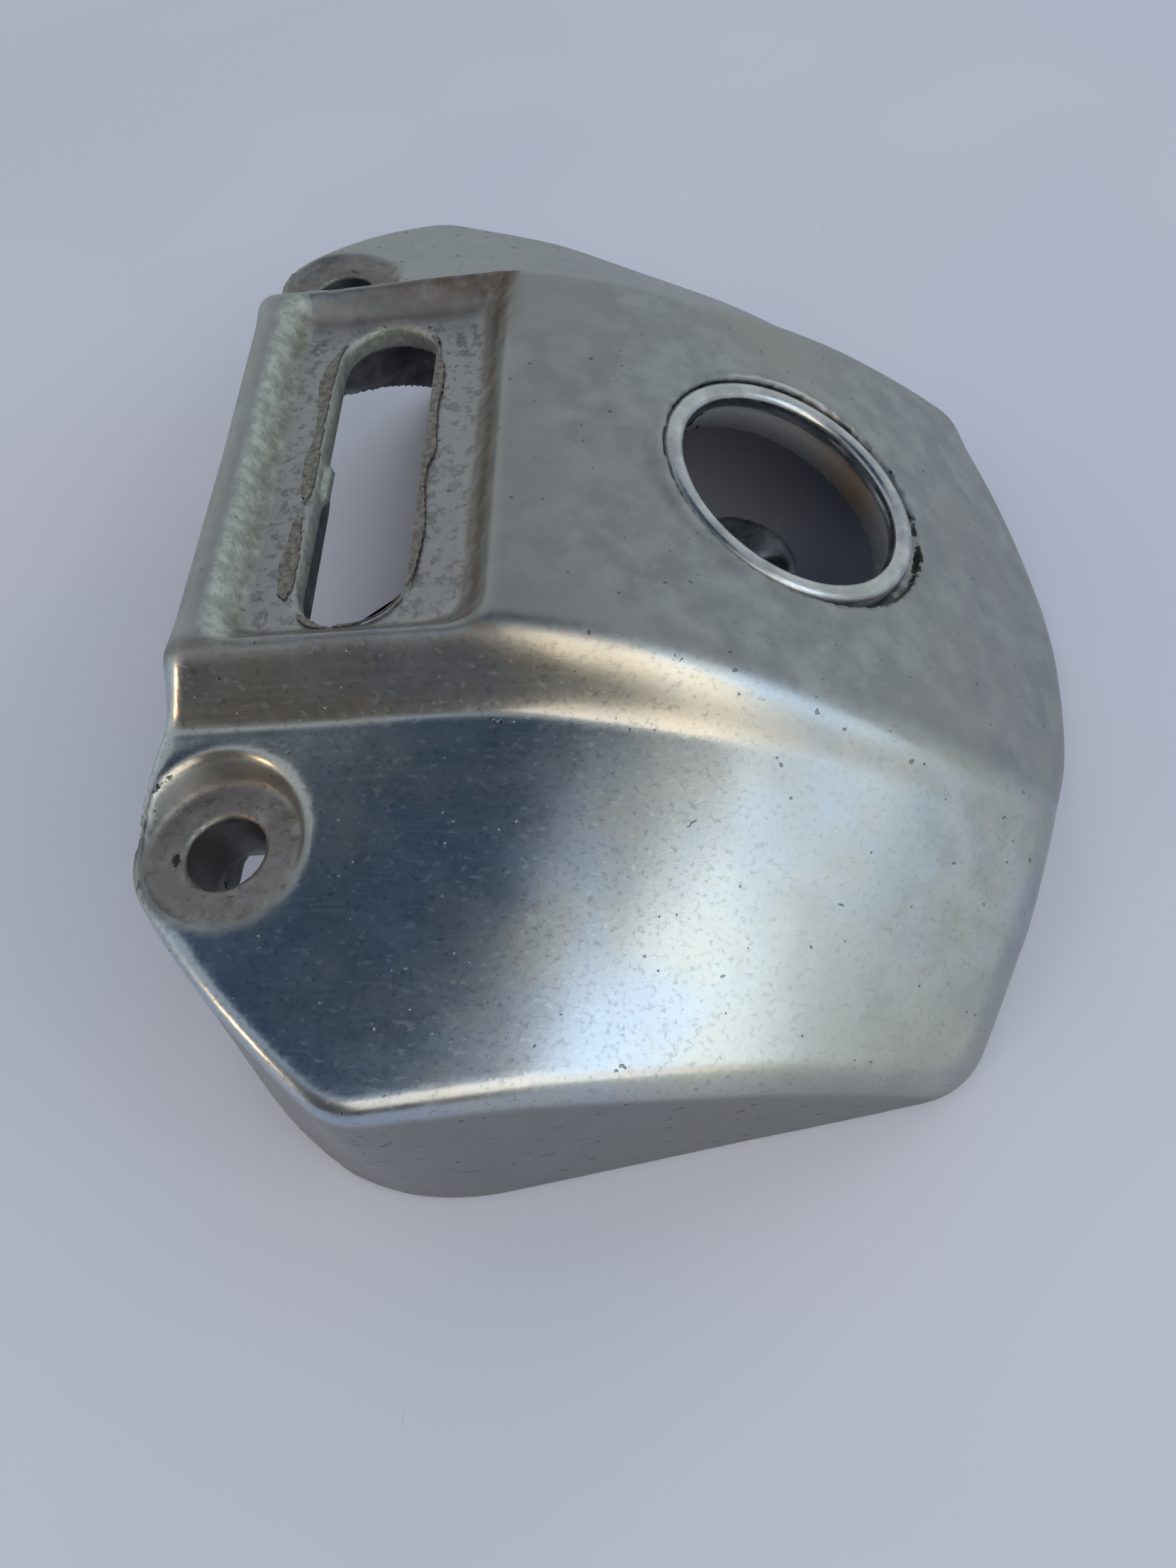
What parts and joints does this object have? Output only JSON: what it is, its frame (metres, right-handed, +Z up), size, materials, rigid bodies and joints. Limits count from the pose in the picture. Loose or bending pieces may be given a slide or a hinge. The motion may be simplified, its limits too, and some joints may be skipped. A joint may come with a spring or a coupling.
{
  "type": "handlebar yoke cover",
  "caption": "Hollow cast aluminium cover with a ridge, bolt ears, a lamp slot in a recess and a tilted lock bore with a bright ring.",
  "frame": {"origin": "the middle of the underside, on the plane of the bottom rim", "axes": "+X towards the nose, +Y across from ear to ear, +Z up along the bolts"},
  "size_m": [0.1172, 0.1586, 0.0503],
  "materials": {
    "casting": "worn cast aluminium, polished wings and a duller ridge",
    "ring": "bright turned aluminium with dirt at its seam",
    "gasket": "dry, torn and dirty"
  },
  "bodies": {
    "root": {"cover_casting": "casting", "bore_ring": "ring", "gasket_front": "gasket", "gasket_near_end": "gasket", "gasket_rear_corner": "gasket", "gasket_rear_lower": "gasket", "gasket_rear_upper": "gasket"}
  },
  "joints": []
}
